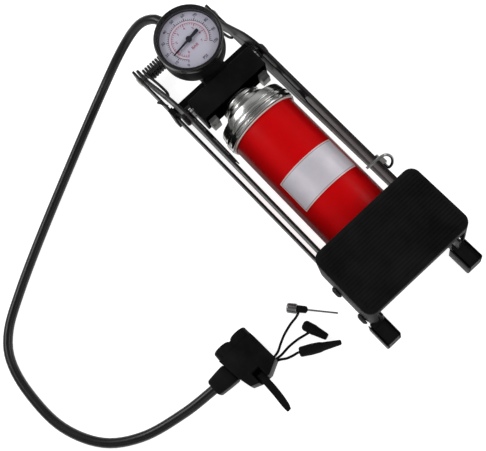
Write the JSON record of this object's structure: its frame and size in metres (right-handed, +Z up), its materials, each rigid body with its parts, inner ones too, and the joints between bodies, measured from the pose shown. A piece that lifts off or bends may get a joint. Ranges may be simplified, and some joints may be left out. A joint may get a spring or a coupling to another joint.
{
  "type": "folding foot pump",
  "caption": "Folding single-barrel foot pump with red barrel, wide ribbed pedal, round dial gauge, long black hose, twin-mouth lever chuck and tethered adapters.",
  "frame": {"origin": "on the floor, under the centre of the folded pump without its hose, chuck and adapters", "axes": "+X from the hinge to the pedal, +Y to the side with the latch wire, +Z up"},
  "size_m": [0.3237, 0.3287, 0.0945],
  "materials": {
    "black_chrome": "dark plated steel strip, semi gloss",
    "black_paint": "black powder coat",
    "chrome": "polished chrome plate",
    "steel": "zinc plated steel",
    "rubber": "matt black rubber",
    "plastic": "black moulded plastic",
    "red_enamel": "glossy red enamel",
    "casting": "dark grey casting",
    "dial_white": "pale printed face",
    "label_silver": "silver lavender film",
    "clear": "clear lens",
    "ink": "dark pointer",
    "seal": "soft sealing ring"
  },
  "bodies": {
    "base": {"base_rail_left": "black_chrome", "base_rail_right": "black_chrome", "foot_left": "rubber", "foot_right": "rubber", "rear_cross_bar": "plastic", "front_cross_plate": "black_chrome", "rod_clevis": "steel", "rod_pin": "steel", "hinge_axle": "steel", "spring_hook_left": "black_paint", "spring_hook_right": "black_paint", "chuck_body": "plastic", "chuck_ferrule": "plastic", "chuck_seal_near": "seal", "chuck_seal_far": "seal", "adapter_needle": "steel", "adapter_round": "plastic", "adapter_tapered": "plastic", "tether_needle": "plastic", "tether_round": "plastic", "tether_tapered": "plastic"},
    "arms": {"arm_left": "black_chrome", "arm_right": "black_chrome", "arm_doubler_left": "black_chrome", "arm_doubler_right": "black_chrome", "tilt_pin_left": "black_chrome", "tilt_pin_right": "black_chrome", "tilt_bush_left": "chrome", "tilt_bush_right": "chrome", "pedal_plate": "steel", "pedal_cover": "rubber", "pedal_bolt_rear_left": "black_chrome", "pedal_bolt_front_left": "black_chrome", "pedal_bolt_rear_right": "black_chrome", "pedal_bolt_front_right": "black_chrome", "torsion_spring": "black_paint", "latch_clip": "steel"},
    "rod": {"piston_rod": "chrome", "rod_eye": "steel", "piston": "plastic", "piston_seal": "rubber"},
    "barrel": {"head_yoke": "black_paint", "head_casting": "casting", "head_neck": "chrome", "barrel_cap": "chrome", "cap_ring": "dial_white", "barrel_tube": "red_enamel", "barrel_end_cap": "plastic", "barrel_label": "label_silver", "gauge_stem": "black_paint", "gauge_body": "plastic", "gauge_bezel": "black_chrome", "gauge_dial": "dial_white", "gauge_lens": "clear", "outlet_barb": "steel", "outlet_ferrule": "rubber", "hose": "rubber"},
    "pointer": {"gauge_needle": "ink"},
    "latch": {"latch_wire": "chrome"},
    "lever": {"chuck_lever": "plastic"}
  },
  "joints": [
    {"name": "arm_fold", "type": "hinge", "parent": "base", "child": "arms", "pos_m": [-0.1425, 0, 0.014], "axis": [0, -1, 0], "range_deg": [0, 45]},
    {"name": "rod_tilt", "type": "hinge", "parent": "base", "child": "rod", "pos_m": [0.11553, 0, 0.02888], "axis": [0, 1, 0], "range_deg": [0, 8.2]},
    {"name": "barrel_slide", "type": "slide", "parent": "rod", "child": "barrel", "axis": [-0.995, 0, 0.0995], "range_m": [0, 0.055]},
    {"name": "gauge_pointer", "type": "hinge", "parent": "barrel", "child": "pointer", "pos_m": [-0.10127, 0, 0.09196], "axis": [-0.0995, 0, -0.995], "range_deg": [-40, 232], "stiffness_Nm_per_rad": 0.0005},
    {"name": "latch_swing", "type": "hinge", "parent": "arms", "child": "latch", "pos_m": [0.0565, 0.0419, 0.0455], "axis": [1, 0, 0], "range_deg": [0, 18]},
    {"name": "chuck_lever_flip", "type": "hinge", "parent": "base", "child": "lever", "pos_m": [0.1047, -0.1305, 0.013], "axis": [0, -1, 0], "range_deg": [0, 90]}
  ],
  "couplings": [
    {"joint": "rod_tilt", "follows": "arm_fold", "ratio": 0.17988},
    {"joint": "barrel_slide", "follows": "arm_fold", "m_per_rad": 0.069204}
  ]
}
